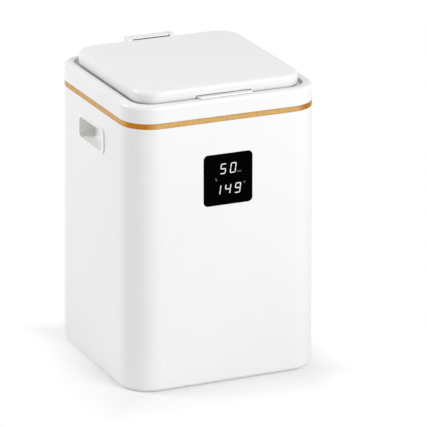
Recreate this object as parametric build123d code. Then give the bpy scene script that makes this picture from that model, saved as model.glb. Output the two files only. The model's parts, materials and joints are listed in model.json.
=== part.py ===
from build123d import *
import os
from math import atan, degrees, sqrt

# Towel warmer bucket, in millimetres. The floor is z = 0, the front faces -Y and the
# origin is under the middle of the body.

# Body
BODY_WIDTH = 265.1          # across the sides, carried down to the floor
BODY_DEPTH = 256.9          # front to back, carried down to the floor
BODY_CORNER = 42.0          # upright corner radius at the floor
DRAFT = 0.0081              # how far each side leans in for each millimetre of height
SHELL_WALL = 2.5
SHELL_LOW = 1.5             # underside above the floor
BASE_ROUND = 4.5            # radius of the lower edge
LIP_WIDTH = 18.0            # turned-in edge under the shell that carries the tray
SEAM = 0.1                  # gap where two outer mouldings meet
FIT = 0.2                   # gap round a piece that seats in another

# Gold band and top rim
RIM_TOP = 376.5             # above the floor
BAND_DROP = 22.7            # from the rim's top to the band
BAND_HEIGHT = 7.0
RIM_ROUND = 5.5
RIM_WALL = 2.5              # skirt inside the shell
SKIRT_DROP = 16.0           # how far the skirt reaches below the rim
RIM_PLATE = 3.0             # floor of the lid's recess
RIM_SIDE = 12.7             # between the recess and the side walls
RIM_END = 10.3              # between the recess and the front and back walls
RECESS_CORNER = 27.0
RECESS_DEPTH = 5.0
RECESS_ROUND = 1.2

# Bucket and heating
SHELF_SIDE = 19.8           # recess floor between its sides and the bucket
SHELF_END = 18.1            # the same at the front and back
BUCKET_CORNER = 24.0
BUCKET_WALL = 1.5
BUCKET_LOW = 62.0
BUCKET_ROUND = 12.0
BUCKET_FLANGE = 5.5
MOUTH_GAP = 1.0
WRAP_THICK = 1.0
WRAP_RISE = 28.0            # lower edge above the bucket's underside
WRAP_DROP = 41.5            # upper edge below the recess floor
JACKET_THICK = 6.0
JACKET_RISE = 16.0
JACKET_DROP = 19.5
HEATER_EDGE = 12.5          # between the plate and the stand's walls
HEATER_PLATE = 2.0
HEATER_RING = 20.0          # from the plate's edge to the middle of the element's channel
HEATER_CHANNEL = 3.5        # half its width, and its depth

# Small parts under the heater
THERMOSTAT_X = 15.0
THERMOSTAT_FLANGE = 8.5     # radii
THERMOSTAT_BODY = 7.5
THERMOSTAT_FLANGE_THICK = 3.0
THERMOSTAT_HEIGHT = 10.0
BLADE_STEP = 8.0
BLADE_WIDTH = 4.0
BLADE_THICK = 1.0
BLADE_LENGTH = 7.0
FUSE_X = -16.0
FUSE_RADIUS = 2.0
FUSE_LENGTH = 18.0
FUSE_DROP = 3.0             # of its axis under the plate
CLIP_WIDTH = 8.0
CLIP_LENGTH = 10.0
CLIP_HEIGHT = 5.5
SENSOR_Y = 22.0
SENSOR_RADIUS = 2.5
SENSOR_LENGTH = 16.0

# Base
TRAY_INSET = 8.5
TRAY_WALL = 2.5
FOOT_RADIUS = 9.0
FOOT_HEIGHT = 5.4
FOOT_CHAMFER = 0.8
FOOT_SIDE = 40.5            # from the side wall to a foot's middle
FOOT_END = 44.5             # from the front or back wall to it
STAND_INSET = 22.0          # of the stand's walls inside the bucket's
STAND_CORNER = 12.0
STAND_WALL = 2.5
STAND_FLANGE = 6.0
STAND_BITE = 1.5            # of its screws in the tray
WINDOW_LENGTH = 90.0        # openings in the stand's walls
WINDOW_HEIGHT = 30.0
WINDOW_CORNER = 6.0
VENT_LENGTH = 20.0
VENT_WIDTH = 3.0
VENT_STEP = 12.0
VENT_COUNT = 7

# Power board
BOARD_WIDTH = 84.0
BOARD_DEPTH = 58.0
BOARD_CORNER = 3.0
BOARD_THICK = 1.6
BOARD_LOW = 20.0
BOARD_EDGE = 5.0            # from a board's edge to its fixing holes
BOARD_BITE = 8.0            # of its screws in the posts
RELAY_SIZE = (16.0, 20.0, 16.0)
RELAY_PLACE = (-18.0, -2.0)
CAPACITOR_SIZE = (9.0, 18.0, 15.0)
CAPACITOR_PLACE = (0.5, -3.0)
CASE_CHAMFER = 0.8
CHOKE_X = 20.0
CHOKE_RADIUS = 10.0
CHOKE_BORE = 4.0
CHOKE_HEIGHT = 10.0
CHOKE_BASE = 3.0            # closed part under its bore
TERMINAL_SIZE = (30.0, 10.0, 12.0)
TERMINAL_PLACE = (0.0, 19.0)
TERMINAL_COUNT = 5
TERMINAL_STEP = 5.8
TERMINAL_BORE = 1.8
TERMINAL_SINK = 6.0         # depth of each screw well

# Display
DISPLAY_DROP = 105.6        # of its middle below the rim's top
LENS_SIZE = 66.7
LENS_CORNER = 6.0
LENS_PROUD = 0.3
FRAME_MARGIN = 7.0          # frame beyond the lens, behind the wall
FRAME_CORNER = 8.0
FRAME_THICK = 4.0
WINDOW_EDGE = 4.3           # of the frame's window inside the lens
WINDOW_ROUND = 3.0
LED_WIDTH = 46.0
LED_HEIGHT = 40.0
LED_CORNER = 1.5
LED_RISE = 4.0              # of its middle above the lens's middle
DISPLAY_BOARD_GAP = 6.0     # between the frame and the board
SPRING_RADIUS = 2.2
SPRING_STEP = 16.0
SPRING_EDGE = 9.3           # of the springs above the lens's lower edge

# Hand pockets
HANDLE_DROP = 67.5          # of their middle below the rim's top
BEZEL_LENGTH = 81.4
BEZEL_HEIGHT = 34.0
BEZEL_CORNER = 10.0
BEZEL_PROUD = 2.0
BEZEL_BACK = 1.6            # of its middle behind the body's middle
BEZEL_ROUND = 1.4
POCKET_LENGTH = 72.7
POCKET_HEIGHT = 27.0
POCKET_CORNER = 7.5
POCKET_DEPTH = 17.5
POCKET_BACK = 3.4
POCKET_ROUND = 3.0
CUP_WALL = 1.6
LUG_LENGTH = 10.0
LUG_RISE = 1.5

# Cord gland
GLAND_HEIGHT = 34.0
GLAND_SIDE = 62.5           # from the right wall to its middle, at the back
GLAND_FLANGE = 9.8
GLAND_RADIUS = 6.0
GLAND_BORE = 3.6
GLAND_LENGTH = 14.0
GLAND_SEAT = 1.2            # depth of the flange's recess
GLAND_PAD = 1.5             # extra wall behind that recess
GLAND_COLLAR = 3.0          # that extra wall beyond the flange
NUT_THICK = 3.0

# Lid
LID_SIDE = 4.4              # between the lid and the recess's sides
LID_END = 2.7               # the same at the front and back
LID_CORNER = 30.0
LID_CLEAR = 0.8             # above the recess's floor
LID_HEIGHT = 19.0
LID_TOP_ROUND = 6.0
LID_LOW_ROUND = 4.5
LID_WALL = 2.5
LID_LIP = 6.5               # width of the cover's turned-in lower edge
LINER_THICK = 2.6
PLUG_GAP = 4.5              # between the plug and the bucket's inside
PLUG_CORNER = 20.0
PLUG_DROP = 10.5
PLUG_WALL = 2.0
PLUG_ROUND = 5.0
SEAL_WIDTH = 3.4
SEAL_GROOVE = 1.4
SEAL_CLEAR = 0.3
LID_SCREW_SPREAD = 0.62     # places of the screws along each side
TAB_WIDTH = 74.4
TAB_THICK = 2.1
TAB_CLEAR = 0.3             # above the rim
TAB_SHADOW = 0.9            # open slit between the tab and the cover above it
TAB_OUT = 7.6               # how far it stands out of the lid's front
TAB_IN = 24.4               # how far it reaches inside
TAB_CORNER = 5.0
TAB_NOSE = 1.4              # radius of its front edge

# Hinge
HINGE_OUT = 10.6            # pin behind the lid's back wall
PIN_RADIUS = 2.0
PIN_FIT = 0.02              # in the cheeks
KNUCKLE_FIT = 0.05          # round the pin, in the lid's knuckle
KNUCKLE_HALF = 6.5          # from the pin to each flat of the knuckle
KNUCKLE_ROUND = 3.5
KNUCKLE_LENGTH = 51.0
CHEEK_WIDTH = 7.0
CHEEK_GAP = 0.5             # between a cheek and the knuckle
CHEEK_CLEAR = 0.9           # between a cheek and the lid's back wall
CHEEK_BACK = 7.0            # of a cheek behind the pin
CHEEK_FRONT_ROUND = 5.0     # lets the lid's back wall swing over the cheek
CHEEK_BACK_ROUND = 2.5
CHEEK_ROUND = 1.2
SEAT_DROP = 10.0            # how far the hinge's seat wraps down the rim's back
SEAT_RISE = 0.5             # of the seat above the rim
SEAT_CLEAR = 1.0            # under the knuckle's corners as they turn
ARM_THICK = 5.0
ARM_IN = 28.4               # how far the arm reaches inside the lid

# Screws
SCREW_RADIUS = 1.5
SCREW_HEAD = 2.7
SCREW_HEAD_HIGH = 1.8
SCREW_CLEAR = 0.2
SCREW_SINK = 1.0            # of a head into its plate
BOSS_RADIUS = 4.0

CUT = 1.0                   # how far a cut runs past the face it opens


def half_width(height):
    return BODY_WIDTH / 2 - DRAFT * height


def half_depth(height):
    return BODY_DEPTH / 2 - DRAFT * height


# Sizes that follow from these
DRAFT_ANGLE = degrees(atan(DRAFT))
BAND_TOP = RIM_TOP - BAND_DROP
BAND_LOW = BAND_TOP - BAND_HEIGHT
SHELL_TOP = BAND_LOW - SEAM
RIM_LOW = BAND_TOP + SEAM
RECESS_FLOOR = RIM_TOP - RECESS_DEPTH
RECESS_WIDTH = 2 * (half_width(RIM_TOP) - RIM_SIDE)
RECESS_LENGTH = 2 * (half_depth(RIM_TOP) - RIM_END)
BUCKET_WIDTH = RECESS_WIDTH - 2 * SHELF_SIDE
BUCKET_LENGTH = RECESS_LENGTH - 2 * SHELF_END
BUCKET_UNDER = BUCKET_LOW - SEAM
STAND_WIDTH = BUCKET_WIDTH - 2 * STAND_INSET
STAND_LENGTH = BUCKET_LENGTH - 2 * STAND_INSET
HEATER_RADIUS = min(STAND_WIDTH, STAND_LENGTH) / 2 - STAND_WALL - HEATER_EDGE
HEATER_UNDER = BUCKET_UNDER - HEATER_PLATE
SMALL_TOP = HEATER_UNDER - SEAM
FLOOR_TOP = SHELL_LOW + SHELL_WALL
TRAY_LOW = FLOOR_TOP + SEAM
TRAY_TOP = TRAY_LOW + TRAY_WALL
FOOT_X = BODY_WIDTH / 2 - FOOT_SIDE
FOOT_Y = BODY_DEPTH / 2 - FOOT_END
BOARD_TOP = BOARD_LOW + BOARD_THICK
DISPLAY_HEIGHT = RIM_TOP - DISPLAY_DROP
FRAME_SIZE = LENS_SIZE + 2 * FRAME_MARGIN
FRAME_FRONT = -SHELL_WALL - SEAM / 2
FRAME_BACK = FRAME_FRONT - FRAME_THICK
DISPLAY_BOARD_FRONT = FRAME_BACK - DISPLAY_BOARD_GAP
DISPLAY_BOARD_BACK = DISPLAY_BOARD_FRONT - BOARD_THICK
HANDLE_HEIGHT = RIM_TOP - HANDLE_DROP
LID_WIDTH = RECESS_WIDTH - 2 * LID_SIDE
LID_LENGTH = RECESS_LENGTH - 2 * LID_END
LID_LOW = RECESS_FLOOR + LID_CLEAR
LID_TOP = LID_LOW + LID_HEIGHT
LID_CEILING = LID_TOP - LID_WALL
LINER_LOW = LID_LOW + FIT
LINER_TOP = LINER_LOW + LINER_THICK
PLUG_LOW = LINER_LOW - PLUG_DROP
PLUG_INSET = BUCKET_WALL + PLUG_GAP
TAB_LOW = RIM_TOP + TAB_CLEAR
TAB_HIGH = TAB_LOW + TAB_THICK
KNUCKLE_REACH = sqrt(2) * (KNUCKLE_HALF - KNUCKLE_ROUND) + KNUCKLE_ROUND
HINGE_BACK = LID_LENGTH / 2 + HINGE_OUT
HINGE_HEIGHT = RIM_TOP + SEAT_RISE + SEAT_CLEAR + KNUCKLE_REACH
ARM_LOW = HINGE_HEIGHT - KNUCKLE_HALF
ARM_HIGH = ARM_LOW + ARM_THICK
CORNERS = [(x, y) for x in (-1, 1) for y in (-1, 1)]


def front_face(height):
    """Frame on the front wall: x to the right, y up the wall, z outwards."""
    return Plane((0, -half_depth(height), height), x_dir=(1, 0, 0), z_dir=(0, -1, DRAFT)).location


def back_face(height):
    """Frame on the back wall, seen from behind."""
    return Plane((0, half_depth(height), height), x_dir=(-1, 0, 0), z_dir=(0, 1, DRAFT)).location


def left_face(height):
    """Frame on the left wall: x towards the front, y up the wall, z outwards."""
    return Plane((-half_width(height), 0, height), x_dir=(0, -1, 0), z_dir=(-1, 0, DRAFT)).location


DISPLAY = front_face(DISPLAY_HEIGHT)
HANDLE = left_face(HANDLE_HEIGHT)
GLAND = back_face(GLAND_HEIGHT) * Pos(GLAND_SIDE - BODY_WIDTH / 2, 0, 0)


def block(outline, low, high, at=Location()):
    """Solid with this outline between two distances along a frame's z."""
    return extrude(at * Pos(0, 0, low) * outline, high - low)


def rod(radius, low, high, x=0, y=0, at=Location()):
    """Round bar along a frame's z, between two distances."""
    return at * Pos(x, y, (low + high) / 2) * Cylinder(radius, high - low)


def cross_rod(radius, half_length):
    """Round bar along the hinge's axis."""
    return Pos(0, HINGE_BACK, HINGE_HEIGHT) * Rot(0, 90, 0) * Cylinder(radius, 2 * half_length)


def cuboid(left, right, front, back, low, high):
    middle = Pos((left + right) / 2, (front + back) / 2, (low + high) / 2)
    return middle * Box(right - left, back - front, high - low)


def square(width, corner):
    return RectangleRounded(width, width, corner)


def grown(width, length, corner, offset):
    """Rounded rectangle moved outwards by an offset."""
    return RectangleRounded(width + 2 * offset, length + 2 * offset, corner + offset)


def base_outline(inset):
    return grown(BODY_WIDTH, BODY_DEPTH, BODY_CORNER, -inset)


def bucket_outline(offset):
    return grown(BUCKET_WIDTH, BUCKET_LENGTH, BUCKET_CORNER, offset)


def plug_outline(inset):
    """Outline of the lid's plug, which hangs inside the bucket."""
    width = BUCKET_WIDTH - 2 * PLUG_INSET
    length = BUCKET_LENGTH - 2 * PLUG_INSET
    return grown(width, length, PLUG_CORNER, -inset)


def lid_outline(inset):
    return grown(LID_WIDTH, LID_LENGTH, LID_CORNER, -inset)


def stand_outline(offset):
    return grown(STAND_WIDTH, STAND_LENGTH, STAND_CORNER, offset)


def envelope(inset, low, high):
    """The body's drafted form, drawn in by an inset, between two heights."""
    outline = Pos(0, 0, low) * base_outline(inset + DRAFT * low)
    return extrude(outline, high - low, taper=DRAFT_ANGLE)


def level_edges(shape, height):
    """Edges of a shape that lie at one height."""
    return shape.edges().filter_by_position(Axis.Z, height - 0.01, height + 0.01)


def screw(head_face, tip, x, y, at=Location(), up=1):
    """Pan-head screw along a frame's z, its head outside head_face."""
    head = rod(SCREW_HEAD, *sorted((head_face, head_face - up * SCREW_HEAD_HIGH)), x, y, at)
    return head + rod(SCREW_RADIUS, *sorted((head_face, tip)), x, y, at)


def screw_hole(low, high, x, y, at=Location()):
    return rod(SCREW_RADIUS + SCREW_CLEAR, low - CUT, high + CUT, x, y, at)


def around(side, end, spread_x=0.5, spread_y=0.5):
    """Two places on each of the four sides of a rectangle."""
    sides = [(x * side, y * end * spread_y) for x, y in CORNERS]
    ends = [(x * side * spread_x, y * end) for x, y in CORNERS]
    return sides + ends


def base_screw_places():
    inset = (TRAY_INSET + LIP_WIDTH) / 2
    return around(BODY_WIDTH / 2 - inset, BODY_DEPTH / 2 - inset)


def lid_screw_places():
    """Midway between the plug and the seal."""
    inset = (PLUG_INSET - BUCKET_FLANGE + SEAL_WIDTH) / 2
    side = BUCKET_WIDTH / 2 - inset
    end = BUCKET_LENGTH / 2 - inset
    return around(side, end, LID_SCREW_SPREAD, LID_SCREW_SPREAD)


def arm_screw_places():
    root = LID_LENGTH / 2 - ARM_IN
    return [(x * KNUCKLE_LENGTH / 3, root + 2 * BOSS_RADIUS) for x in (-1, 1)]


def tab_screw_places():
    root = LID_LENGTH / 2 - TAB_IN
    return [(x * TAB_WIDTH / 3, -root - 1.5 * BOSS_RADIUS) for x in (-1, 1)]


def stand_screw_places():
    reach = (STAND_WIDTH + STAND_FLANGE) / 2
    return [(x * reach, y * STAND_LENGTH / 4) for x, y in CORNERS]


def board_screw_places():
    side = BOARD_WIDTH / 2 - BOARD_EDGE
    end = BOARD_DEPTH / 2 - BOARD_EDGE
    return [(x * side, y * end) for x, y in CORNERS]


def display_post_places():
    reach = LENS_SIZE / 2 + FRAME_MARGIN - BOSS_RADIUS
    return [(x * reach, y * reach) for x, y in CORNERS]


def outer_shell():
    shell = envelope(0, SHELL_LOW, SHELL_TOP)
    shell = fillet(level_edges(shell, SHELL_LOW), BASE_ROUND)
    inside = envelope(SHELL_WALL, FLOOR_TOP, SHELL_TOP + CUT)
    shell -= chamfer(level_edges(inside, FLOOR_TOP), max(BASE_ROUND - SHELL_WALL, SEAM) / 2)
    shell -= envelope(LIP_WIDTH, SHELL_LOW - CUT, FLOOR_TOP + CUT)
    shell -= block(square(LENS_SIZE + 2 * FIT, LENS_CORNER + FIT), -2 * SHELL_WALL, CUT, DISPLAY)
    hole = block(pocket_outline(CUP_WALL + FIT), -2 * SHELL_WALL, CUT, HANDLE)
    shell -= hole
    shell -= mirror(hole, Plane.YZ)
    shell += rod(GLAND_FLANGE + GLAND_COLLAR, -SHELL_WALL - GLAND_PAD, -SHELL_WALL + FIT, at=GLAND)
    shell -= rod(GLAND_FLANGE + FIT, -GLAND_SEAT, CUT, at=GLAND)
    shell -= rod(GLAND_RADIUS + FIT, -2 * SHELL_WALL - GLAND_PAD, CUT, at=GLAND)
    for x, y in base_screw_places():
        shell -= screw_hole(SHELL_LOW, FLOOR_TOP, x, y)
    return shell


def base_tray():
    """Pan that closes the underside, on the shell's lip."""
    tray = block(base_outline(TRAY_INSET), TRAY_LOW, TRAY_TOP)
    well = LIP_WIDTH + 2 * FIT
    tray += block(base_outline(well), SHELL_LOW, TRAY_TOP)
    tray -= block(base_outline(well + TRAY_WALL), FLOOR_TOP, TRAY_TOP + CUT)
    for x, y in CORNERS:
        foot = (x * FOOT_X, y * FOOT_Y)
        tray += rod(FOOT_RADIUS + TRAY_WALL, SHELL_LOW, FOOT_HEIGHT + TRAY_WALL, *foot)
        tray -= rod(FOOT_RADIUS + SEAM, SHELL_LOW - CUT, FOOT_HEIGHT, *foot)
    for x, y in base_screw_places():
        tray += rod(BOSS_RADIUS, TRAY_TOP, TRAY_TOP + BOSS_RADIUS, x, y)
        tray -= rod(SCREW_RADIUS, FLOOR_TOP, TRAY_TOP + BOSS_RADIUS - CUT, x, y)
    for x, y in board_screw_places():
        tray += rod(BOSS_RADIUS, FLOOR_TOP, BOARD_LOW, x, y)
        tray -= rod(SCREW_RADIUS, FLOOR_TOP + TRAY_WALL, BOARD_LOW + CUT, x, y)
    for x, y in stand_screw_places():
        tray -= rod(SCREW_RADIUS, SHELL_LOW - CUT, FLOOR_TOP + CUT, x, y)
    for number in range(VENT_COUNT):
        x = (number - (VENT_COUNT - 1) / 2) * VENT_STEP
        for y in (-FOOT_Y, FOOT_Y):
            slot = Pos(x, y, 0) * Rectangle(VENT_WIDTH, VENT_LENGTH)
            tray -= block(slot, SHELL_LOW - CUT, FLOOR_TOP + CUT)
    return tray


def rubber_feet():
    feet = []
    for x, y in CORNERS:
        foot = rod(FOOT_RADIUS, 0, FOOT_HEIGHT, x * FOOT_X, y * FOOT_Y)
        feet.append(chamfer(level_edges(foot, 0), FOOT_CHAMFER))
    return Compound(children=feet)


def base_screws():
    tip = TRAY_TOP + BOSS_RADIUS / 2
    return Compound(children=[screw(SHELL_LOW, tip, x, y) for x, y in base_screw_places()])


def cord_gland():
    gland = rod(GLAND_FLANGE, -GLAND_SEAT, 0, at=GLAND)
    gland += rod(GLAND_RADIUS, -GLAND_LENGTH, -GLAND_SEAT, at=GLAND)
    return gland - rod(GLAND_BORE, -GLAND_LENGTH - CUT, CUT, at=GLAND)


def gland_nut():
    back = -SHELL_WALL - GLAND_PAD - SEAM
    nut = block(RegularPolygon(GLAND_FLANGE, 6), back - NUT_THICK, back, GLAND)
    return nut - rod(GLAND_RADIUS + SEAM, back - NUT_THICK - CUT, back + CUT, at=GLAND)


def gold_band():
    return envelope(0, BAND_LOW, BAND_TOP) - envelope(SHELL_WALL + FIT / 2, BAND_LOW, BAND_TOP)


def hinge_cheek():
    """Fixed block at one end of the hinge, level with the knuckle beside it."""
    inner = KNUCKLE_LENGTH / 2 + CHEEK_GAP
    front = LID_LENGTH / 2 + CHEEK_CLEAR
    top = HINGE_HEIGHT + KNUCKLE_HALF
    cheek = cuboid(inner, inner + CHEEK_WIDTH, front, HINGE_BACK + CHEEK_BACK, RECESS_FLOOR, top)
    cheek = fillet(level_edges(cheek, top).filter_by(Axis.X).sort_by(Axis.Y)[0], CHEEK_FRONT_ROUND)
    cheek = fillet(level_edges(cheek, top).filter_by(Axis.X).sort_by(Axis.Y)[-1], CHEEK_BACK_ROUND)
    outside = cheek.faces().sort_by(Axis.X)[-1]
    rounded = [edge for edge in outside.edges() if edge.center().Z > RIM_TOP]
    return cheek.fillet(CHEEK_ROUND, rounded)


def hinge_seat():
    """Pad that joins the cheeks and wraps over the rim's back edge."""
    side = KNUCKLE_LENGTH / 2 + CHEEK_GAP + CHEEK_WIDTH
    back = HINGE_BACK + CHEEK_BACK
    pad = cuboid(-side, side, RECESS_LENGTH / 2, back, RIM_TOP - SEAT_DROP, RIM_TOP + SEAT_RISE)
    lower = level_edges(pad, RIM_TOP - SEAT_DROP).filter_by(Axis.X).sort_by(Axis.Y)[-1]
    return chamfer(lower, (back - half_depth(RIM_TOP)) * 0.9)


def top_rim():
    rim = envelope(0, RIM_LOW, RIM_TOP)
    rim = fillet(level_edges(rim, RIM_TOP), RIM_ROUND)
    recess = RectangleRounded(RECESS_WIDTH, RECESS_LENGTH, RECESS_CORNER)
    rim -= block(recess, RECESS_FLOOR, RIM_TOP + CUT)
    upper = rim.faces().sort_by(Axis.Z)[-1]
    rim = rim.fillet(RECESS_ROUND, upper.inner_wires()[0].edges())
    skirt = SHELL_WALL + FIT
    skirt_low = RIM_LOW - SKIRT_DROP
    rim += envelope(skirt, skirt_low, RIM_LOW)
    rim += hinge_seat()
    rim -= envelope(skirt + RIM_WALL, skirt_low - CUT, RECESS_FLOOR - RIM_PLATE)
    cheek = hinge_cheek()
    rim += cheek
    rim += mirror(cheek, Plane.YZ)
    rim -= block(bucket_outline(BUCKET_FLANGE + FIT), RECESS_FLOOR - BUCKET_WALL, RIM_TOP)
    rim -= block(bucket_outline(MOUTH_GAP), skirt_low, RIM_TOP)
    return rim - cross_rod(PIN_RADIUS + PIN_FIT, KNUCKLE_LENGTH)


def hinge_pin():
    return cross_rod(PIN_RADIUS, KNUCKLE_LENGTH / 2 + CHEEK_GAP + CHEEK_WIDTH)


def inner_bucket():
    tub = block(bucket_outline(0), BUCKET_LOW, RECESS_FLOOR)
    tub = fillet(level_edges(tub, BUCKET_LOW), BUCKET_ROUND)
    tub += block(bucket_outline(BUCKET_FLANGE), RECESS_FLOOR - BUCKET_WALL, RECESS_FLOOR)
    floor = BUCKET_LOW + BUCKET_WALL
    inside = block(bucket_outline(-BUCKET_WALL), floor, RECESS_FLOOR + CUT)
    return tub - fillet(level_edges(inside, floor), BUCKET_ROUND - BUCKET_WALL)


def sleeve(gap, thick, low, high):
    """Wrap that follows the bucket's walls."""
    return block(bucket_outline(gap + thick), low, high) - block(bucket_outline(gap), low, high)


def heater_wrap():
    return sleeve(FIT, WRAP_THICK, BUCKET_LOW + WRAP_RISE, RECESS_FLOOR - WRAP_DROP)


def insulation_jacket():
    gap = 2 * FIT + WRAP_THICK
    return sleeve(gap, JACKET_THICK, BUCKET_LOW + JACKET_RISE, RECESS_FLOOR - JACKET_DROP)


def bottom_heater():
    middle = HEATER_RADIUS - HEATER_RING
    low = HEATER_UNDER - HEATER_CHANNEL
    channel = rod(middle + HEATER_CHANNEL, low, HEATER_UNDER)
    channel -= rod(middle - HEATER_CHANNEL, low, HEATER_UNDER)
    return rod(HEATER_RADIUS, HEATER_UNDER, BUCKET_UNDER) + channel


def thermostat():
    waist = SMALL_TOP - THERMOSTAT_FLANGE_THICK
    low = SMALL_TOP - THERMOSTAT_HEIGHT
    body = rod(THERMOSTAT_FLANGE, waist, SMALL_TOP, THERMOSTAT_X)
    body += rod(THERMOSTAT_BODY, low, waist, THERMOSTAT_X)
    for side in (-1, 1):
        blade = Box(BLADE_THICK, BLADE_WIDTH, BLADE_LENGTH)
        body += Pos(THERMOSTAT_X, side * BLADE_STEP / 2, low - BLADE_LENGTH / 2) * blade
    return body


def thermal_fuse():
    clip = Pos(FUSE_X, 0, SMALL_TOP - CLIP_HEIGHT / 2) * Box(CLIP_WIDTH, CLIP_LENGTH, CLIP_HEIGHT)
    barrel = Rot(90, 0, 0) * Cylinder(FUSE_RADIUS, FUSE_LENGTH)
    return clip + Pos(FUSE_X, 0, SMALL_TOP - FUSE_DROP) * barrel


def ntc_sensor():
    barrel = Rot(0, 90, 0) * Cylinder(SENSOR_RADIUS, SENSOR_LENGTH)
    return Pos(0, SENSOR_Y, SMALL_TOP - SENSOR_RADIUS) * barrel


def bucket_stand():
    """Open frame between the tray and the bucket's floor."""
    stand = block(stand_outline(0), FLOOR_TOP, BUCKET_UNDER)
    for low in (FLOOR_TOP, BUCKET_UNDER - STAND_WALL):
        stand += block(stand_outline(STAND_FLANGE), low, low + STAND_WALL)
    stand -= block(stand_outline(-STAND_WALL), FLOOR_TOP - CUT, BUCKET_UNDER + CUT)
    opening = RectangleRounded(WINDOW_LENGTH, WINDOW_HEIGHT, WINDOW_CORNER)
    for turn, reach in ((0, STAND_LENGTH), (90, STAND_WIDTH)):
        upright = Rot(0, 0, turn) * Pos(0, 0, (FLOOR_TOP + BUCKET_UNDER) / 2) * Rot(90, 0, 0)
        stand -= extrude(upright * opening, reach, both=True)
    for x, y in stand_screw_places():
        stand -= screw_hole(FLOOR_TOP, FLOOR_TOP + STAND_WALL, x, y)
    return stand


def stand_screws():
    face = FLOOR_TOP + STAND_WALL
    tip = FLOOR_TOP - STAND_BITE
    return Compound(children=[screw(face, tip, x, y, up=-1) for x, y in stand_screw_places()])


def power_board():
    board = block(RectangleRounded(BOARD_WIDTH, BOARD_DEPTH, BOARD_CORNER), BOARD_LOW, BOARD_TOP)
    for x, y in board_screw_places():
        board -= screw_hole(BOARD_LOW, BOARD_TOP, x, y)
    return board


def board_screws():
    tip = BOARD_LOW - BOARD_BITE
    return Compound(children=[screw(BOARD_TOP, tip, x, y, up=-1) for x, y in board_screw_places()])


def board_case(size, place):
    """Moulded case on the power board, its upper edges eased."""
    case = Pos(*place, BOARD_TOP + size[2] / 2) * Box(*size)
    return chamfer(level_edges(case, BOARD_TOP + size[2]), CASE_CHAMFER)


def relay():
    return board_case(RELAY_SIZE, RELAY_PLACE)


def capacitor():
    return board_case(CAPACITOR_SIZE, CAPACITOR_PLACE)


def choke():
    top = BOARD_TOP + CHOKE_HEIGHT
    bore = rod(CHOKE_BORE, BOARD_TOP + CHOKE_BASE, top + CUT, CHOKE_X)
    return rod(CHOKE_RADIUS, BOARD_TOP, top, CHOKE_X) - bore


def terminal_block():
    x, y = TERMINAL_PLACE
    top = BOARD_TOP + TERMINAL_SIZE[2]
    case = Pos(x, y, BOARD_TOP + TERMINAL_SIZE[2] / 2) * Box(*TERMINAL_SIZE)
    for number in range(TERMINAL_COUNT):
        along = x + (number - (TERMINAL_COUNT - 1) / 2) * TERMINAL_STEP
        case -= rod(TERMINAL_BORE, top - TERMINAL_SINK, top + CUT, along, y)
    return case


def display_lens():
    lens = block(square(LENS_SIZE, LENS_CORNER), -SHELL_WALL, LENS_PROUD)
    return DISPLAY * chamfer(level_edges(lens, LENS_PROUD), LENS_PROUD * 0.8)


def display_frame():
    frame = block(square(FRAME_SIZE, FRAME_CORNER), FRAME_BACK, FRAME_FRONT, DISPLAY)
    window = square(LENS_SIZE - 2 * WINDOW_EDGE, WINDOW_ROUND)
    frame -= block(window, FRAME_BACK - CUT, FRAME_FRONT + CUT, DISPLAY)
    for x, y in display_post_places():
        frame += rod(BOSS_RADIUS - 0.5, DISPLAY_BOARD_FRONT, FRAME_BACK, x, y, DISPLAY)
        frame -= rod(SCREW_RADIUS, DISPLAY_BOARD_FRONT - CUT, FRAME_BACK, x, y, DISPLAY)
    return frame


def display_board():
    board = block(square(FRAME_SIZE, BOSS_RADIUS), DISPLAY_BOARD_BACK, DISPLAY_BOARD_FRONT, DISPLAY)
    for x, y in display_post_places():
        board -= screw_hole(DISPLAY_BOARD_BACK, DISPLAY_BOARD_FRONT, x, y, DISPLAY)
    return board


def display_screws():
    tip = FRAME_BACK - CUT
    screws = [screw(DISPLAY_BOARD_BACK, tip, x, y, DISPLAY) for x, y in display_post_places()]
    return Compound(children=screws)


def led_module():
    outline = Pos(0, LED_RISE, 0) * RectangleRounded(LED_WIDTH, LED_HEIGHT, LED_CORNER)
    return block(outline, DISPLAY_BOARD_FRONT, -SHELL_WALL - 3 * FIT, DISPLAY)


def touch_springs():
    y = SPRING_EDGE - LENS_SIZE / 2
    places = [(number * SPRING_STEP, y) for number in (-1, 0, 1)]
    springs = [rod(SPRING_RADIUS, DISPLAY_BOARD_FRONT, -SHELL_WALL, *place, DISPLAY) for place in places]
    return Compound(children=springs)


def pocket_outline(offset):
    """Outline of the hand pocket, grown by an offset, on the left wall's frame."""
    return Pos(-POCKET_BACK, 0, 0) * grown(POCKET_LENGTH, POCKET_HEIGHT, POCKET_CORNER, offset)


def handle_cup():
    bezel = Pos(-BEZEL_BACK, 0, 0) * RectangleRounded(BEZEL_LENGTH, BEZEL_HEIGHT, BEZEL_CORNER)
    cup = block(bezel, 0, BEZEL_PROUD)
    cup = fillet(level_edges(cup, BEZEL_PROUD), BEZEL_ROUND)
    back = -POCKET_DEPTH - CUP_WALL
    tub = block(pocket_outline(CUP_WALL), back, BEZEL_PROUD / 2)
    cup += chamfer(level_edges(tub, back), POCKET_ROUND / 2)
    pocket = block(pocket_outline(0), -POCKET_DEPTH, BEZEL_PROUD + CUT)
    cup -= fillet(level_edges(pocket, -POCKET_DEPTH), POCKET_ROUND)
    wall = POCKET_HEIGHT / 2 + CUP_WALL
    lug = Box(LUG_LENGTH, 2 * LUG_RISE, 2 * LUG_RISE)
    for x, y in CORNERS:
        place = (x * POCKET_LENGTH / 3 - POCKET_BACK, y * (wall - LUG_RISE / 3))
        cup += Pos(*place, -SHELL_WALL - FIT - LUG_RISE) * lug
    return HANDLE * cup


def handle_cup_left():
    return handle_cup()


def handle_cup_right():
    return mirror(handle_cup(), Plane.YZ)


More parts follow.
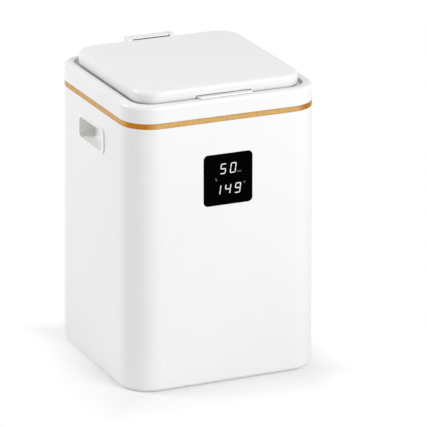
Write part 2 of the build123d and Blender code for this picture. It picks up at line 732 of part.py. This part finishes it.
def lid_cover():
    cover = block(lid_outline(0), LID_LOW, LID_TOP)
    cover = fillet(level_edges(cover, LID_TOP), LID_TOP_ROUND)
    cover = fillet(level_edges(cover, LID_LOW), LID_LOW_ROUND)
    inside = block(lid_outline(LID_WALL), LID_LOW + LID_LOW_ROUND - CUT, LID_CEILING)
    cover -= chamfer(level_edges(inside, LID_CEILING), (LID_TOP_ROUND - LID_WALL) / 2)
    cover -= block(lid_outline(LID_LIP), LID_LOW - CUT, LID_CEILING - LID_WALL)
    for x, y in lid_screw_places():
        cover += rod(BOSS_RADIUS, LINER_TOP, LID_CEILING + SEAM, x, y)
        cover -= rod(SCREW_RADIUS, LINER_TOP - CUT, LID_CEILING - CUT, x, y)
    for places, low in ((arm_screw_places(), ARM_HIGH), (tab_screw_places(), TAB_HIGH)):
        for x, y in places:
            cover += rod(BOSS_RADIUS, low, LID_CEILING + SEAM, x, y)
            cover -= rod(SCREW_RADIUS, low - CUT, LID_CEILING - CUT / 2, x, y)
    wall = LID_LENGTH / 2
    side = KNUCKLE_LENGTH / 2 + FIT
    cover -= cuboid(-side, side, wall - 2 * LID_WALL, wall + CUT, ARM_LOW - FIT, ARM_HIGH + FIT)
    side = TAB_WIDTH / 2 + FIT
    high = TAB_HIGH + TAB_SHADOW
    return cover - cuboid(-side, side, -wall - CUT, -wall + 2 * LID_WALL, TAB_LOW - FIT, high)


def lid_liner():
    """Plate that closes the lid's underside, with the plug that hangs in the bucket."""
    liner = block(lid_outline(LID_LIP + FIT), LINER_LOW, LINER_TOP)
    plug = block(plug_outline(0), PLUG_LOW, LINER_TOP)
    liner += fillet(level_edges(plug, PLUG_LOW), PLUG_ROUND)
    floor = PLUG_LOW + PLUG_WALL
    hollow = block(plug_outline(PLUG_WALL), floor, LINER_TOP + CUT)
    liner -= chamfer(level_edges(hollow, floor), (PLUG_ROUND - PLUG_WALL) / 2)
    top = LINER_LOW + SEAL_GROOVE
    groove = block(bucket_outline(BUCKET_FLANGE), LINER_LOW - CUT, top)
    liner -= groove - block(bucket_outline(BUCKET_FLANGE - SEAL_WIDTH), LINER_LOW - CUT, top)
    for x, y in lid_screw_places():
        liner -= screw_hole(LINER_LOW, LINER_TOP, x, y)
        liner -= rod(SCREW_HEAD + SCREW_CLEAR, LINER_LOW - CUT, LINER_LOW + SCREW_SINK, x, y)
    return liner


def lid_seal():
    """Ring in the liner's groove, over the bucket's flange."""
    low = RECESS_FLOOR + SEAL_CLEAR
    high = LINER_LOW + SEAL_GROOVE - SEAM
    outside = block(bucket_outline(BUCKET_FLANGE - SEAM), low, high)
    return outside - block(bucket_outline(BUCKET_FLANGE + SEAM - SEAL_WIDTH), low, high)


def lid_insulation():
    return block(plug_outline(PLUG_WALL + PLUG_ROUND), PLUG_LOW + PLUG_WALL, LINER_TOP)


def lid_screws():
    screws = [screw(LINER_LOW + SCREW_SINK, LID_CEILING - 2 * CUT, x, y) for x, y in lid_screw_places()]
    screws += [screw(ARM_LOW, LID_CEILING - CUT, x, y) for x, y in arm_screw_places()]
    screws += [screw(TAB_LOW + SCREW_SINK, LID_CEILING - CUT, x, y) for x, y in tab_screw_places()]
    return Compound(children=screws)


def lift_tab():
    root = LID_LENGTH / 2 - TAB_IN
    front = LID_LENGTH / 2 + TAB_OUT
    tab = cuboid(-TAB_WIDTH / 2, TAB_WIDTH / 2, -front, -root, TAB_LOW, TAB_HIGH)
    tab = fillet(tab.edges().filter_by(Axis.Z).group_by(Axis.Y)[0], TAB_CORNER)
    nose = [edge for edge in level_edges(tab, TAB_HIGH) if edge.center().Y < TAB_CORNER - front]
    tab = fillet(nose, TAB_NOSE)
    for x, y in tab_screw_places():
        tab -= screw_hole(TAB_LOW, TAB_HIGH, x, y)
        tab -= rod(SCREW_HEAD + SCREW_CLEAR, TAB_LOW - CUT, TAB_LOW + SCREW_SINK, x, y)
    return tab


def lid_arm():
    """Plate screwed inside the lid, with the knuckle that turns on the pin."""
    side = KNUCKLE_LENGTH / 2
    knuckle = Box(KNUCKLE_LENGTH, 2 * KNUCKLE_HALF, 2 * KNUCKLE_HALF)
    knuckle = fillet(knuckle.edges().filter_by(Axis.X), KNUCKLE_ROUND)
    arm = cuboid(-side, side, LID_LENGTH / 2 - ARM_IN, HINGE_BACK, ARM_LOW, ARM_HIGH)
    arm += Pos(0, HINGE_BACK, HINGE_HEIGHT) * knuckle
    for x, y in arm_screw_places():
        arm -= screw_hole(ARM_LOW, ARM_HIGH, x, y)
    return arm - cross_rod(PIN_RADIUS + KNUCKLE_FIT, KNUCKLE_LENGTH)


PARTS = [
    outer_shell, base_tray, rubber_feet, base_screws, cord_gland, gland_nut, gold_band, top_rim,
    hinge_pin, inner_bucket, heater_wrap, insulation_jacket, bottom_heater, thermostat,
    thermal_fuse, ntc_sensor, bucket_stand, stand_screws, power_board, board_screws, relay,
    capacitor, choke, terminal_block, display_lens, display_frame, display_board, display_screws,
    led_module, touch_springs, handle_cup_left, handle_cup_right, lid_cover, lid_liner, lid_seal,
    lid_insulation, lid_screws, lift_tab, lid_arm,
]

os.makedirs("parts", exist_ok=True)
for part in PARTS:
    export_step(part(), f"parts/{part.__name__}.step")
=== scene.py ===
import json
import math

import bmesh
import bpy
from mathutils import Matrix, Vector


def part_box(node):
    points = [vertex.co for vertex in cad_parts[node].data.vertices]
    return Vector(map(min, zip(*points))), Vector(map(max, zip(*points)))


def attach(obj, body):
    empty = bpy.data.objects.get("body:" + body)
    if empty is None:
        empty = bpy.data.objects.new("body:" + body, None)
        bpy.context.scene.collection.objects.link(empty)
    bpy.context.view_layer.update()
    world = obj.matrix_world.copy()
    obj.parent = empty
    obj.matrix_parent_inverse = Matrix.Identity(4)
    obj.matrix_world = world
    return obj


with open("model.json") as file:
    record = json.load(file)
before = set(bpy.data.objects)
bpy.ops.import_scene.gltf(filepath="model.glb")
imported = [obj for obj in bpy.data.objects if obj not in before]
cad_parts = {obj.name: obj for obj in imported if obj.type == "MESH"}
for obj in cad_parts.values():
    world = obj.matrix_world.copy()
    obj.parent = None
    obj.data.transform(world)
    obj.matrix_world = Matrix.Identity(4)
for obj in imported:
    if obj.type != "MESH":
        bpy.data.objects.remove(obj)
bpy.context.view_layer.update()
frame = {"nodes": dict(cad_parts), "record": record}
MM = 0.001

# ---------------------------------------------------------------- directions

def towards(azimuth, elevation):
    """Unit vector away from the object, from degrees. Azimuth 0 is the front, 90 the right."""
    turn, rise = math.radians(azimuth), math.radians(elevation)
    return Vector((
        math.sin(turn) * math.cos(rise),
        -math.cos(turn) * math.cos(rise),
        math.sin(rise),
    ))


def placed(right, up, out, origin=(0.0, 0.0, 0.0)):
    """Matrix from x, y and z along three directions to the shared frame."""
    turn = Matrix((right, up, out)).transposed().to_4x4()
    return Matrix.Translation(origin) @ turn


# ---------------------------------------------------------------- camera

CAMERA_AZIMUTH = -24.24              # degrees, as are the next two
CAMERA_ELEVATION = 18.68
CAMERA_ROLL = 0.19
CAMERA_DISTANCE = 5.14388
CAMERA_AIM = Vector((0.03705, 0.0, 0.18083))
CAMERA_REACH = 60.0
FOCAL_PIXELS = 4000.0
IMAGE_PIXELS = 427.0
SENSOR = 36.0                        # millimetres


def add_camera():
    turn, roll = math.radians(CAMERA_AZIMUTH), math.radians(CAMERA_ROLL)
    back = towards(CAMERA_AZIMUTH, CAMERA_ELEVATION)
    level = Vector((math.cos(turn), math.sin(turn), 0.0))
    upright = back.cross(level)
    right = level * math.cos(roll) + upright * math.sin(roll)
    up = upright * math.cos(roll) - level * math.sin(roll)
    data = bpy.data.cameras.new("camera")
    data.sensor_width = SENSOR
    data.lens = FOCAL_PIXELS / IMAGE_PIXELS * SENSOR
    data.clip_end = CAMERA_REACH
    camera = bpy.data.objects.new("camera", data)
    camera.matrix_world = placed(right, up, back, CAMERA_AIM + back * CAMERA_DISTANCE)
    bpy.context.scene.collection.objects.link(camera)
    bpy.context.scene.camera = camera


# ---------------------------------------------------------------- materials

SHELL_COLOUR = (0.88, 0.881, 0.884)
LID_COLOUR = (0.875, 0.876, 0.88)

# Moulded plastic: slow changes, so many to the metre
PATCH = 9.0
PATCH_TINT = 0.985
PATCH_GLOSS = (0.93, 1.08)
FLOW_DEPTH = 0.00012
FLOW_STRENGTH = 0.35
PLASTIC_IOR = 1.5

# Metal: fine lines
LINE_TINT = 0.86
LINE_GLOSS = (0.8, 1.25)
LINE_DEPTH = 0.000008

# Painted shade in the gap round the lid, where ambient occlusion finds a crevice. Each start, a
# height in metres, leaves out what the shut lid covers: the floor of the rim's recess and the
# lid's underside.
PAINTED_SHADE_COLOUR = (0.2, 0.2, 0.19)
PAINTED_SHADE_SAMPLES = 8
PAINTED_SHADE_BLUR = 0.0003
SHELL_PAINTED_SHADE = {"reach": 0.007, "fully_shaded": 0.10, "unshaded": 0.40, "start": 0.3741}
LID_PAINTED_SHADE = {"reach": 0.016, "fully_shaded": 0.02, "unshaded": 0.58, "start": 0.3724}

# The band goes from light to deep. Round the corners and on the sides the deep tone is painted
# reflection and shade. Each triple is the share of deep that is reached, and the range of a value
# over which it is: the corners take the normal's x times its y, the sides its x, the edges the
# height from the middle in half heights, and the mottling a noise.
BAND_LIGHT = (0.69, 0.445, 0.165)
BAND_DEEP = (0.48, 0.18, 0.014)
BAND_ROUGHNESS = 0.34
BAND_CORNER = (1.0, 0.08, 0.42)
BAND_SIDE = (0.24, 0.5, 1.0)
BAND_EDGE = (0.45, 0.5, 1.0)
BAND_MOTTLE = (0.3, 0.42, 0.66)

# Lit marks: colour and strength
UNLIT_COLOUR = (0.02, 0.02, 0.02, 1.0)
DIGIT_LIGHT = ((0.93, 0.92, 0.95), 1.05)
MARK_LIGHT = ((0.8, 0.78, 0.8), 0.28)


class Nodes:
    """Short names for building one material's node tree."""

    def __init__(self, name):
        self.material = bpy.data.materials.new(name)
        self.material.use_nodes = True
        self.tree = self.material.node_tree
        self.shader = self.tree.nodes["Principled BSDF"]

    def add(self, kind, **values):
        node = self.tree.nodes.new(kind)
        for key, value in values.items():
            setattr(node, key, value)
        return node

    def link(self, source, target):
        self.tree.links.new(source, target)

    def place(self, scale=(1.0, 1.0, 1.0)):
        """Object coordinates in metres, times a scale."""
        coordinates = self.add("ShaderNodeTexCoord")
        mapping = self.add("ShaderNodeMapping")
        mapping.inputs["Scale"].default_value = scale
        self.link(coordinates.outputs["Object"], mapping.inputs["Vector"])
        return mapping.outputs["Vector"]

    def axes(self, vector):
        """The x, y and z of a vector."""
        split = self.add("ShaderNodeSeparateXYZ")
        self.link(vector, split.inputs["Vector"])
        return [split.outputs[axis] for axis in "XYZ"]

    def noise(self, per_metre, detail=3.0, roughness=0.55, scale=(1.0, 1.0, 1.0)):
        """Noise from 0 to 1, finer along the axes with a larger scale."""
        noise = self.add("ShaderNodeTexNoise")
        noise.inputs["Scale"].default_value = per_metre
        noise.inputs["Detail"].default_value = detail
        noise.inputs["Roughness"].default_value = roughness
        self.link(self.place(scale), noise.inputs["Vector"])
        return noise.outputs["Fac"]

    def ranged(self, value, low, high, start=0.25, end=0.75):
        """From low to high as the value goes from start to end, and flat beyond."""
        spread = self.add("ShaderNodeMapRange")
        spread.inputs["From Min"].default_value = start
        spread.inputs["From Max"].default_value = end
        spread.inputs["To Min"].default_value = low
        spread.inputs["To Max"].default_value = high
        self.link(value, spread.inputs["Value"])
        return spread.outputs["Result"]

    def math(self, operation, *values):
        """The result of one operation on sockets and numbers."""
        node = self.add("ShaderNodeMath", operation=operation)
        for socket, value in zip(node.inputs, values):
            if isinstance(value, float):
                socket.default_value = value
            else:
                self.link(value, socket)
        return node.outputs["Value"]

    def blend(self, factor, first, second):
        """From the first colour to the second as the factor rises. The second may be a socket."""
        mix = self.add("ShaderNodeMix", data_type="RGBA")
        mix.inputs["A"].default_value = (*first, 1.0)
        if isinstance(second, tuple):
            mix.inputs["B"].default_value = (*second, 1.0)
        else:
            self.link(second, mix.inputs["B"])
        self.link(factor, mix.inputs["Factor"])
        return mix.outputs["Result"]

    def with_painted_shade(self, surface, reach, fully_shaded, unshaded, start):
        """The surface with painted shade in its crevices above the height start, in metres.

        The far side of a crevice is within reach. The two shares of open sky bound the painted
        shade:
        at the first it is full, at the second gone.
        """
        depth = self.add("ShaderNodeAmbientOcclusion", samples=PAINTED_SHADE_SAMPLES)
        depth.inputs["Distance"].default_value = reach
        height = self.axes(self.place())[2]
        covered = self.ranged(height, 1.0, 0.0, start - PAINTED_SHADE_BLUR, start + PAINTED_SHADE_BLUR)
        in_the_open = self.ranged(depth.outputs["AO"], 0.0, 1.0, fully_shaded, unshaded)
        return self.blend(self.math("MAXIMUM", covered, in_the_open), PAINTED_SHADE_COLOUR, surface)

    def bump(self, height, distance, strength=1.0, under=None):
        """Normals of a surface that rises by the distance, on top of other normals if given."""
        bump = self.add("ShaderNodeBump")
        bump.inputs["Distance"].default_value = distance
        bump.inputs["Strength"].default_value = strength
        self.link(height, bump.inputs["Height"])
        if under is not None:
            self.link(under, bump.inputs["Normal"])
        return bump.outputs["Normal"]

    def feed(self, **sockets):
        """Links to the shader's sockets. A space in a socket's name is an underscore here."""
        for key, value in sockets.items():
            self.link(value, self.shader.inputs[key.replace("_", " ")])

    def set(self, **sockets):
        """Constants on the shader's own sockets, named in the same way."""
        for key, value in sockets.items():
            self.shader.inputs[key.replace("_", " ")].default_value = value


def shade(colour, change):
    """The colour times a number, no lighter than white."""
    return tuple(min(1.0, channel * change) for channel in colour)


def moulded(name, colour, roughness, grain=2600.0, depth=0.000012, painted_shade=None):
    """Moulded plastic: fine eroded grain, slow changes of gloss and a trace of tint."""
    nodes = Nodes(name)
    slow = nodes.ranged(nodes.noise(PATCH, detail=2.0), 0.0, 1.0)
    surface = nodes.blend(slow, colour, shade(colour, PATCH_TINT))
    # Painted shade in crevices, when asked for
    if painted_shade is not None:
        surface = nodes.with_painted_shade(surface, **painted_shade)
    low, high = (roughness * share for share in PATCH_GLOSS)
    flow = nodes.bump(nodes.noise(PATCH * 2.5, detail=1.0), FLOW_DEPTH, FLOW_STRENGTH)
    nodes.feed(
        Base_Color=surface,
        Roughness=nodes.ranged(nodes.noise(PATCH * 3), low, high),
        Normal=nodes.bump(nodes.noise(grain, detail=2.0), depth, under=flow),
    )
    nodes.set(IOR=PLASTIC_IOR)
    return nodes


def brushed(name, roughness, streak, grain, depth=LINE_DEPTH):
    """Metal of no colour yet, and the noise that its gloss and height follow."""
    nodes = Nodes(name)
    lines = nodes.noise(grain, detail=4.0, scale=streak)
    low, high = (roughness * share for share in LINE_GLOSS)
    nodes.feed(Roughness=nodes.ranged(lines, low, high), Normal=nodes.bump(lines, depth))
    nodes.set(Metallic=1.0)
    return nodes, lines


def metal(name, colour, roughness, streak=(1.0, 1.0, 1.0), grain=900.0, depth=LINE_DEPTH):
    """Brushed or plated metal. Its lines run at right angles to the axis of the largest streak."""
    nodes, lines = brushed(name, roughness, streak, grain, depth)
    dark = nodes.ranged(lines, 0.0, 1.0)
    nodes.feed(Base_Color=nodes.blend(dark, colour, shade(colour, LINE_TINT)))
    return nodes


def band_metal(name):
    """Satin gold plating: mottled and deeper at its two edges; painted reflection and shade make
    it deeper on the sides and round the corners.
    """
    nodes, _ = brushed(name, BAND_ROUGHNESS, streak=(1.0, 1.0, 22.0), grain=700.0)

    def deepened(value, share, start, end):
        return nodes.ranged(value, 0.0, share, start, end)

    low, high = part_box("gold_band")
    middle, half = (low.z + high.z) / 2, (high.z - low.z) / 2
    facing = nodes.axes(nodes.add("ShaderNodeTexCoord").outputs["Normal"])
    # Painted reflection: deeper round the corners, where the normal turns
    turn = nodes.math("ABSOLUTE", nodes.math("MULTIPLY", facing[0], facing[1]))
    off = nodes.math("ABSOLUTE", nodes.math("SUBTRACT", nodes.axes(nodes.place())[2], middle))
    share, start, end = BAND_EDGE
    edge = deepened(off, share, half * start, half * end)
    mottle = deepened(nodes.noise(240.0, detail=3.0), *BAND_MOTTLE)
    # Painted shade: deeper on the sides
    side = deepened(nodes.math("ABSOLUTE", facing[0]), *BAND_SIDE)
    painted_side_shade_edge_and_mottle = nodes.math("ADD", side, nodes.math("ADD", edge, mottle))
    deep = nodes.math("MAXIMUM", deepened(turn, *BAND_CORNER), painted_side_shade_edge_and_mottle)
    nodes.feed(Base_Color=nodes.blend(deep, BAND_LIGHT, BAND_DEEP))
    return nodes


def soft_fibre(name, colour):
    """Needled felt, with fibres that run mostly upright."""
    nodes = Nodes(name)
    fibres = nodes.noise(700.0, detail=6.0, roughness=0.7, scale=(1.0, 1.0, 0.35))
    nodes.feed(
        Base_Color=nodes.blend(nodes.ranged(fibres, 0.0, 1.0), colour, shade(colour, 0.72)),
        Normal=nodes.bump(fibres, 0.0004, 0.8),
    )
    nodes.set(Roughness=0.95, Sheen_Weight=0.3)
    return nodes


def glass_panel(name):
    """Back-printed black glass, with a faint haze of wiping."""
    nodes = Nodes(name)
    haze = nodes.noise(60.0, detail=4.0, scale=(1.0, 1.0, 0.4))
    nodes.feed(
        Base_Color=nodes.blend(haze, (0.0004, 0.0004, 0.0007), (0.0009, 0.0009, 0.0012)),
        Roughness=nodes.ranged(haze, 0.05, 0.1),
    )
    nodes.set(Specular_IOR_Level=0.008)
    return nodes


def lit_segment(name, colour, strength):
    """A lit mark of the display, slightly uneven."""
    nodes = Nodes(name)
    speckle = nodes.ranged(nodes.noise(900.0, detail=2.0), 0.0, 1.0)
    nodes.feed(Emission_Color=nodes.blend(speckle, colour, shade(colour, 0.9)))
    nodes.set(Base_Color=UNLIT_COLOUR, Emission_Strength=strength, Specular_IOR_Level=0.1)
    return nodes


def board_mask(name):
    """Green circuit board with a net of tracks."""
    nodes = Nodes(name)
    tracks = nodes.add("ShaderNodeTexVoronoi", feature="DISTANCE_TO_EDGE")
    tracks.inputs["Scale"].default_value = 220.0
    nodes.link(nodes.place(), tracks.inputs["Vector"])
    near = nodes.ranged(tracks.outputs["Distance"], 0.0, 1.0, 0.02, 0.06)
    nodes.feed(
        Base_Color=nodes.blend(near, (0.1, 0.3, 0.16), (0.03, 0.13, 0.06)),
        Normal=nodes.bump(near, 0.00003),
    )
    nodes.set(Roughness=0.35)
    return nodes


MATERIALS = {
    # The two white plastics carry painted shade in the gap round the lid
    "shell_white": moulded("shell_white", SHELL_COLOUR, 0.36, painted_shade=SHELL_PAINTED_SHADE),
    "lid_white": moulded("lid_white", LID_COLOUR, 0.34, painted_shade=LID_PAINTED_SHADE),
    "gold": band_metal("gold"),
    "pocket_grey": moulded("pocket_grey", (0.9, 0.897, 0.88), 0.42, depth=0.00002),
    "display_black": glass_panel("display_black"),
    "bucket_metal": metal("bucket_metal", (0.87, 0.872, 0.88), 0.36, streak=(1.0, 1.0, 18.0)),
    "steel": metal("steel", (0.62, 0.62, 0.63), 0.26),
    "rubber": moulded("rubber", (0.035, 0.035, 0.036), 0.75, grain=1600.0, depth=0.00003),
    "silicone": moulded("silicone", (0.3, 0.3, 0.295), 0.55),
    "heater_foil": metal("heater_foil", (0.7, 0.7, 0.7), 0.42, grain=300.0, depth=0.00004),
    "insulation": soft_fibre("insulation", (0.8, 0.78, 0.72)),
    "inner_plastic": moulded("inner_plastic", (0.05, 0.05, 0.054), 0.5),
    "circuit_board": board_mask("circuit_board"),
    "component_blue": moulded("component_blue", (0.03, 0.09, 0.32), 0.4),
    "component_yellow": moulded("component_yellow", (0.7, 0.52, 0.06), 0.4),
    "component_green": moulded("component_green", (0.05, 0.3, 0.1), 0.42),
    "gland_black": moulded("gland_black", (0.02, 0.02, 0.021), 0.5),
    "led_white": moulded("led_white", (0.85, 0.85, 0.83), 0.5),
}


def paint_nodes():
    for part in frame["record"]["subparts"]:
        node = frame["nodes"][part["node"]]
        node.data.materials.clear()
        node.data.materials.append(MATERIALS[part["material_slot"]].material)


# ---------------------------------------------------------------- display

DRAFT = 0.0081                       # lean of the front wall, in metres to the metre
DIGIT_LIFT = 0.02 * MM               # underside of the lit marks above the glass
DIGIT_THICK = 0.06 * MM
DIGIT_WIDTH = 7.9 * MM
DIGIT_PITCH = 13.6 * MM
DIGIT_BAR = 1.25 * MM
DIGIT_GAP = 0.08                     # at each end of a segment, in bars
DIGIT_SLANT = 0.14
SEGMENTS = {"0": "abcdef", "1": "bc", "4": "fgbc", "5": "afgcd", "9": "abcdfg"}

# Places on the panel, from its middle
UPPER_ROW = {"text": "50", "left": -11.65 * MM, "base": 7.1 * MM, "height": 13.5 * MM}
LOWER_ROW = {"text": "149", "left": -18.9 * MM, "base": -19.9 * MM, "height": 13.4 * MM}
UNIT_SIZE = 4.2 * MM
UNIT_MARKS = (
    ("minutes_mark", "min", 11.8 * MM, 7.2 * MM),
    ("degree_mark", "°F", 20.2 * MM, -8.6 * MM),
)
SYMBOL_BAR = 0.8 * MM
SYMBOL = (                           # small dim mark beside the rows
    ((-16.7 * MM, 2.9 * MM), (-16.7 * MM, -0.5 * MM)),
    ((-16.6 * MM, -0.6 * MM), (-14.7 * MM, -0.6 * MM)),
)


def display_frame():
    """Matrix from the panel's own x, y and outward z to the shared frame, in metres."""
    low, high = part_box("display_lens")
    middle = (low + high) / 2
    half = (high.x - low.x) / 2
    front = low.y + DRAFT * half
    out = Vector((0.0, -1.0, DRAFT)).normalized()
    across = Vector((1.0, 0.0, 0.0))
    return placed(across, out.cross(across), out, Vector((middle.x, front, middle.z)))


def flat_piece(name, outlines, place, lift, thick, material):
    """Solid piece from closed outlines on a plane, so thick and so far above it.

    Faces are made one by one, because the extrude operator's order changes from run to run.
    """
    mesh = bmesh.new()
    for outline in outlines:
        under = [mesh.verts.new((x, y, lift)) for x, y in outline]
        over = [mesh.verts.new((x, y, lift + thick)) for x, y in outline]
        mesh.faces.new(under)
        mesh.faces.new(over)
        for corner in range(len(outline)):
            mesh.faces.new((under[corner - 1], under[corner], over[corner], over[corner - 1]))
    bmesh.ops.recalc_face_normals(mesh, faces=mesh.faces)
    data = bpy.data.meshes.new(name)
    mesh.to_mesh(data)
    mesh.free()
    data.transform(place)
    data.materials.append(material.material)
    piece = bpy.data.objects.new(name, data)
    bpy.context.scene.collection.objects.link(piece)
    return piece


def bar(start, end, width):
    """Six-sided segment of a digit, pointed at both ends."""
    a, b = Vector(start), Vector(end)
    along = (b - a).normalized()
    side = Vector((-along.y, along.x)) * width / 2
    tip = along * width / 2
    return [a, a + tip + side, b - tip + side, b, b - tip - side, a + tip - side]


def digit(character, left, base, height):
    """Outlines of a slanted seven-segment digit."""
    low, middle, high = base + DIGIT_BAR / 2, base + height / 2, base + height - DIGIT_BAR / 2
    near, far = left + DIGIT_BAR / 2, left + DIGIT_WIDTH - DIGIT_BAR / 2
    lines = {
        "a": ((near, high), (far, high)), "g": ((near, middle), (far, middle)),
        "d": ((near, low), (far, low)), "f": ((near, middle), (near, high)),
        "b": ((far, middle), (far, high)), "e": ((near, low), (near, middle)),
        "c": ((far, low), (far, middle)),
    }
    outlines = []
    for segment in SEGMENTS[character]:
        start, end = (Vector(point) for point in lines[segment])
        gap = (end - start).normalized() * DIGIT_BAR * DIGIT_GAP
        outline = bar(start + gap, end - gap, DIGIT_BAR)
        outlines.append([(x + (y - base) * DIGIT_SLANT, y) for x, y in outline])
    return outlines


def text_piece(name, text, x, y, size, place, material):
    """Thin solid letters, whose lower left is at x, y on a plane."""
    curve = bpy.data.curves.new(name + "_text", "FONT")
    curve.body = text
    curve.size = size
    curve.extrude = DIGIT_THICK / 2
    curve.resolution_u = 3
    source = bpy.data.objects.new(name + "_text", curve)
    bpy.context.scene.collection.objects.link(source)
    bpy.context.view_layer.update()
    depsgraph = bpy.context.evaluated_depsgraph_get()
    data = bpy.data.meshes.new_from_object(source.evaluated_get(depsgraph))
    bpy.data.objects.remove(source)
    data.name = name
    data.transform(place @ Matrix.Translation((x, y, DIGIT_LIFT + DIGIT_THICK / 2)))
    data.materials.clear()
    data.materials.append(material.material)
    piece = bpy.data.objects.new(name, data)
    bpy.context.scene.collection.objects.link(piece)
    return piece


def add_display():
    place = display_frame()
    lit = lit_segment("segment_white", *DIGIT_LIGHT)
    dim = lit_segment("mark_grey", *MARK_LIGHT)
    pieces = []
    for name, row in (("minutes_digits", UPPER_ROW), ("temperature_digits", LOWER_ROW)):
        outlines = []
        for number, character in enumerate(row["text"]):
            left = row["left"] + number * DIGIT_PITCH
            outlines += digit(character, left, row["base"], row["height"])
        pieces.append(flat_piece(name, outlines, place, DIGIT_LIFT, DIGIT_THICK, lit))
    outlines = [bar(start, end, SYMBOL_BAR) for start, end in SYMBOL]
    pieces.append(flat_piece("heating_mark", outlines, place, DIGIT_LIFT, DIGIT_THICK, dim))
    for name, text, x, y in UNIT_MARKS:
        pieces.append(text_piece(name, text, x, y, UNIT_SIZE, place, dim))
    for piece in pieces:
        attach(piece, "body")


# ---------------------------------------------------------------- hinge

ARM_THICK = 5.0 * MM
STRIP_CLEAR = 0.1 * MM
STRIP_DROP = 1.4 * MM                # top of the strip below the top of the lid
STRIP_ROUND = 0.5 * MM
CORNER_SHARE = 0.3                   # of the rounding, at the middle of its arc


def add_hinge_shadow_strip():
    """Dark strip in the slot between the lid's back wall and the hinge's knuckle: a painted
    shadow, a dark piece put where there is only shade.
    """
    cover_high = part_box("lid_cover")[1]
    arm_low, arm_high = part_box("lid_arm")
    knuckle = arm_high.y - (arm_high.z - arm_low.z)
    arm_top = arm_low.z + ARM_THICK
    front, back = cover_high.y + STRIP_CLEAR, knuckle - STRIP_CLEAR
    low, high = arm_top + STRIP_CLEAR, cover_high.z - STRIP_DROP
    corner = STRIP_ROUND * CORNER_SHARE
    outline = [
        (front, low), (back, low), (back, high - STRIP_ROUND / 2), (back - STRIP_ROUND / 2, high),
        (front + STRIP_ROUND, high), (front + corner, high - corner), (front, high - STRIP_ROUND),
    ]
    place = placed((0.0, 1.0, 0.0), (0.0, 0.0, 1.0), (1.0, 0.0, 0.0))
    length = arm_high.x - arm_low.x - 2 * STRIP_CLEAR
    # A dark piece that stands in for the shadow in the slot
    piece = flat_piece("hinge_shadow_strip", [outline], place, -length / 2, length, MATERIALS["rubber"])
    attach(piece, "lid")


# ---------------------------------------------------------------- stage

FLOOR_SIZE = 40.0
FLOOR_COLOUR = (0.8, 0.8, 0.8)
WORLD_LIGHT = 0.4

# Share of plain white in the seen floor: what it is beside the base, then how much is added from
# one distance to another, in metres from the middle
FLOOR_WHITE = 0.38
FLOOR_FADE = (0.62, 0.132, 0.20)     # all round
FLOOR_BACK = (0.3, -0.05, 0.08)      # towards the back
FLOOR_RIGHT = (0.3, 0.10, 0.14)      # past the right side

LAMP_AIM = Vector((0.0, 0.0, 0.19))
LAMP_DISTANCE = 2.4
LAMPS = (                            # azimuth, elevation, size in metres and power in watts
    ("key", 22.0, 33.0, 1.0, 34.0),
    ("side", -122.0, 30.0, 0.9, 27.8),
)


def floor_white(nodes):
    """Share of plain white, which rises away from the object's square base."""
    x, y, _ = nodes.axes(nodes.place())
    away = nodes.math("MAXIMUM", nodes.math("ABSOLUTE", x), nodes.math("ABSOLUTE", y))
    more, start, end = FLOOR_FADE
    total = nodes.ranged(away, FLOOR_WHITE, FLOOR_WHITE + more, start, end)
    for value, (more, start, end) in ((y, FLOOR_BACK), (x, FLOOR_RIGHT)):
        total = nodes.math("ADD", total, nodes.ranged(value, 0.0, more, start, end))
    return nodes.math("MINIMUM", total, 1.0)


def add_floor():
    mesh = bmesh.new()
    bmesh.ops.create_grid(mesh, x_segments=1, y_segments=1, size=FLOOR_SIZE / 2)
    data = bpy.data.meshes.new("floor")
    mesh.to_mesh(data)
    mesh.free()
    floor = bpy.data.objects.new("floor", data)
    bpy.context.scene.collection.objects.link(floor)
    nodes = Nodes("floor")
    nodes.tree.nodes.remove(nodes.shader)
    plain = nodes.add("ShaderNodeBsdfDiffuse")
    plain.inputs["Color"].default_value = (*FLOOR_COLOUR, 1.0)
    white = nodes.add("ShaderNodeEmission")
    white.inputs["Strength"].default_value = 1.0
    choose = nodes.add("ShaderNodeMixShader")
    share = nodes.math("MULTIPLY", seen_ray(nodes.tree), floor_white(nodes))
    nodes.link(share, choose.inputs["Fac"])
    nodes.link(plain.outputs["BSDF"], choose.inputs[1])
    nodes.link(white.outputs["Emission"], choose.inputs[2])
    nodes.link(choose.outputs["Shader"], nodes.tree.nodes["Material Output"].inputs["Surface"])
    data.materials.append(nodes.material)


def seen_ray(tree):
    """1 where the camera looks straight at something, or by way of metal or glass."""
    path = tree.nodes.new("ShaderNodeLightPath")
    total = path.outputs["Is Camera Ray"]
    for ray in ("Is Glossy Ray", "Is Transmission Ray"):
        either = tree.nodes.new("ShaderNodeMath")
        either.operation = "MAXIMUM"
        tree.links.new(total, either.inputs[0])
        tree.links.new(path.outputs[ray], either.inputs[1])
        total = either.outputs["Value"]
    return total


def add_world():
    world = bpy.data.worlds.new("studio")
    bpy.context.scene.world = world
    world.use_nodes = True
    tree = world.node_tree
    background = tree.nodes["Background"]
    background.inputs["Color"].default_value = (1.0, 1.0, 1.0, 1.0)
    strength = tree.nodes.new("ShaderNodeMapRange")
    strength.inputs["To Min"].default_value = WORLD_LIGHT
    strength.inputs["To Max"].default_value = 1.0
    tree.links.new(seen_ray(tree), strength.inputs["Value"])
    tree.links.new(strength.outputs["Result"], background.inputs["Strength"])


def add_lamps():
    """Soft square lamps that face the middle of the object."""
    for name, azimuth, elevation, size, power in LAMPS:
        away = towards(azimuth, elevation)
        data = bpy.data.lights.new(name, "AREA")
        data.shape = "SQUARE"
        data.size = size
        data.energy = power
        lamp = bpy.data.objects.new(name, data)
        lamp.location = LAMP_AIM + away * LAMP_DISTANCE
        lamp.rotation_euler = away.to_track_quat("Z", "Y").to_euler()
        bpy.context.scene.collection.objects.link(lamp)


add_camera()
paint_nodes()
add_display()
add_hinge_shadow_strip()
add_floor()
add_world()
add_lamps()
bpy.context.scene.view_settings.view_transform = "Standard"
